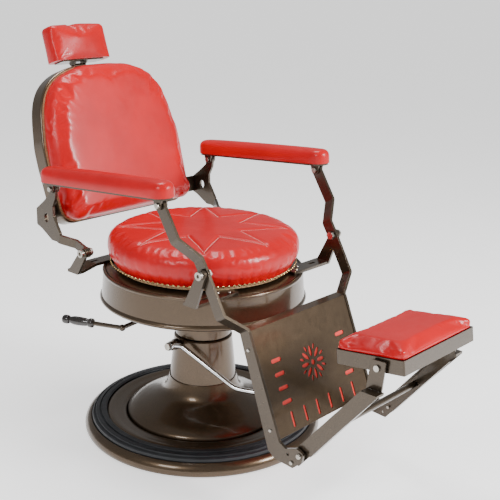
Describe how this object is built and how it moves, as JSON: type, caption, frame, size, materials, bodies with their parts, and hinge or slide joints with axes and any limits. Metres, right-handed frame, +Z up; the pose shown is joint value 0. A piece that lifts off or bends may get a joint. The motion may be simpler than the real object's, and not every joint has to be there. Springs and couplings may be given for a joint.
{
  "type": "barber chair",
  "caption": "Hydraulic barber chair: round padded seat on a pump lift, linked reclining back, armrests and leg panel, headrest and flip-over footrest.",
  "frame": {"origin": "centre of the base on the floor", "axes": "+Z up; the sitter faces -Y; +X is the sitter's left"},
  "size_m": [0.66, 1.3229, 1.0717],
  "materials": {
    "bronze_paint": "gloss metallic paint",
    "dark_bronze_paint": "gloss metallic paint",
    "red_vinyl": "glossy",
    "black_rubber": "satin",
    "chrome": "polished",
    "bright_steel": "zinc plated",
    "cast_iron": "as cast",
    "raw_steel": "primed",
    "plywood": "bare",
    "red_sheet": "satin",
    "dark_gloss": "gloss",
    "black_plastic": "satin",
    "brass": "polished"
  },
  "bodies": {
    "base": {"base_plate": "raw_steel", "base_pan": "bronze_paint", "rubber_ring": "black_rubber", "pedestal": "bronze_paint", "cylinder_foot": "cast_iron", "cylinder_tube": "bright_steel", "gland_nut": "bright_steel", "wiper_seal": "black_rubber", "base_bolts": "bright_steel", "pedal_bracket": "dark_bronze_paint", "pump_barrel": "cast_iron"},
    "pump_plunger": {"pump_plunger": "bright_steel"},
    "pedal": {"pump_shaft": "bright_steel", "pedal_rod": "chrome", "pedal_grip": "black_rubber"},
    "lift": {"piston_rod": "chrome", "piston_head": "bright_steel", "thrust_bearing": "bright_steel"},
    "seat": {"swivel_hub": "bronze_paint", "seat_bowl": "bronze_paint", "seat_frame": "cast_iron", "seat_plate": "bronze_paint", "seat_screws": "bright_steel", "front_brackets": "dark_bronze_paint", "rear_brackets": "dark_bronze_paint", "pivot_bolts": "bright_steel", "cushion_board": "plywood", "seat_cushion": "red_vinyl", "cushion_nails": "brass", "handle_block": "dark_bronze_paint"},
    "recline_handle": {"handle_rod": "dark_bronze_paint", "handle_grip": "dark_gloss"},
    "backrest": {"rear_link_left": "dark_bronze_paint", "rear_link_right": "dark_bronze_paint", "back_brackets": "dark_bronze_paint", "back_shell": "bronze_paint", "back_board": "plywood", "back_pad": "red_vinyl", "headrest_holder": "dark_bronze_paint", "holder_knob": "black_plastic"},
    "headrest_post": {"headrest_post": "dark_bronze_paint"},
    "headrest": {"headrest_bracket": "dark_bronze_paint", "headrest_pad": "red_vinyl"},
    "leg_frame": {"front_lever_left": "dark_bronze_paint", "front_lever_right": "dark_bronze_paint", "leg_panel": "bronze_paint", "panel_backing": "red_sheet", "leg_screws": "bright_steel"},
    "footrest_frame": {"foot_arm_left": "dark_bronze_paint", "foot_arm_right": "dark_bronze_paint", "foot_stretcher": "dark_bronze_paint"},
    "footrest": {"footrest_tray": "dark_bronze_paint", "footrest_pad": "red_vinyl", "footrest_screws": "bright_steel"},
    "armrest_left": {"armrest_plate_left": "dark_bronze_paint", "armrest_pad_left": "red_vinyl", "arm_bolts_left": "bright_steel"},
    "armrest_right": {"armrest_plate_right": "dark_bronze_paint", "armrest_pad_right": "red_vinyl", "arm_bolts_right": "bright_steel"}
  },
  "joints": [
    {"name": "lift_slide", "type": "slide", "parent": "base", "child": "lift", "axis": [0, 0, 1], "range_m": [0, 0.15]},
    {"name": "seat_swivel", "type": "hinge", "parent": "lift", "child": "seat", "pos_m": [0, 0, 0.33], "axis": [0, 0, 1], "continuous": true},
    {"name": "pedal_pump", "type": "hinge", "parent": "base", "child": "pedal", "pos_m": [-0.1, 0.014, 0.254], "axis": [1, 0, 0], "range_deg": [0, 20], "stiffness_Nm_per_rad": 12, "springref_deg": -14.32},
    {"name": "pump_stroke", "type": "slide", "parent": "base", "child": "pump_plunger", "axis": [0, 0, -1], "range_m": [0, 0.008]},
    {"name": "recline_release", "type": "hinge", "parent": "seat", "child": "recline_handle", "pos_m": [-0.15, 0.069, 0.33], "axis": [1, 0, 0], "range_deg": [0, 25], "stiffness_Nm_per_rad": 5, "springref_deg": -20.05},
    {"name": "back_recline", "type": "hinge", "parent": "seat", "child": "backrest", "pos_m": [0, 0.166, 0.518], "axis": [-1, 0, 0], "range_deg": [0, 35]},
    {"name": "leg_swing", "type": "hinge", "parent": "seat", "child": "leg_frame", "pos_m": [0, -0.248, 0.551], "axis": [-1, 0, 0], "range_deg": [0, 35]},
    {"name": "armrest_left_pivot", "type": "hinge", "parent": "backrest", "child": "armrest_left", "pos_m": [0.291, 0.266, 0.675], "axis": [-1, 0, 0], "range_deg": [-35, 0]},
    {"name": "armrest_right_pivot", "type": "hinge", "parent": "backrest", "child": "armrest_right", "pos_m": [-0.291, 0.266, 0.675], "axis": [-1, 0, 0], "range_deg": [-35, 0]},
    {"name": "footrest_swing", "type": "hinge", "parent": "leg_frame", "child": "footrest_frame", "pos_m": [0, -0.508, 0.154], "axis": [-1, 0, 0], "range_deg": [-35, 25]},
    {"name": "footrest_flip", "type": "hinge", "parent": "footrest_frame", "child": "footrest", "pos_m": [0, -0.684, 0.421], "axis": [-1, 0, 0], "range_deg": [0, 180]},
    {"name": "headrest_height", "type": "slide", "parent": "backrest", "child": "headrest_post", "axis": [0, 0.3173, 0.9483], "range_m": [0, 0.08]},
    {"name": "headrest_tilt", "type": "hinge", "parent": "headrest_post", "child": "headrest", "pos_m": [0, 0.52128, 0.95283], "axis": [1, 0, 0], "range_deg": [-12, 25]}
  ],
  "couplings": [
    {"joint": "leg_swing", "follows": "back_recline", "ratio": 1},
    {"joint": "armrest_left_pivot", "follows": "back_recline", "ratio": -1},
    {"joint": "armrest_right_pivot", "follows": "back_recline", "ratio": -1},
    {"joint": "pump_stroke", "follows": "pedal_pump", "m_per_rad": 0.022}
  ]
}
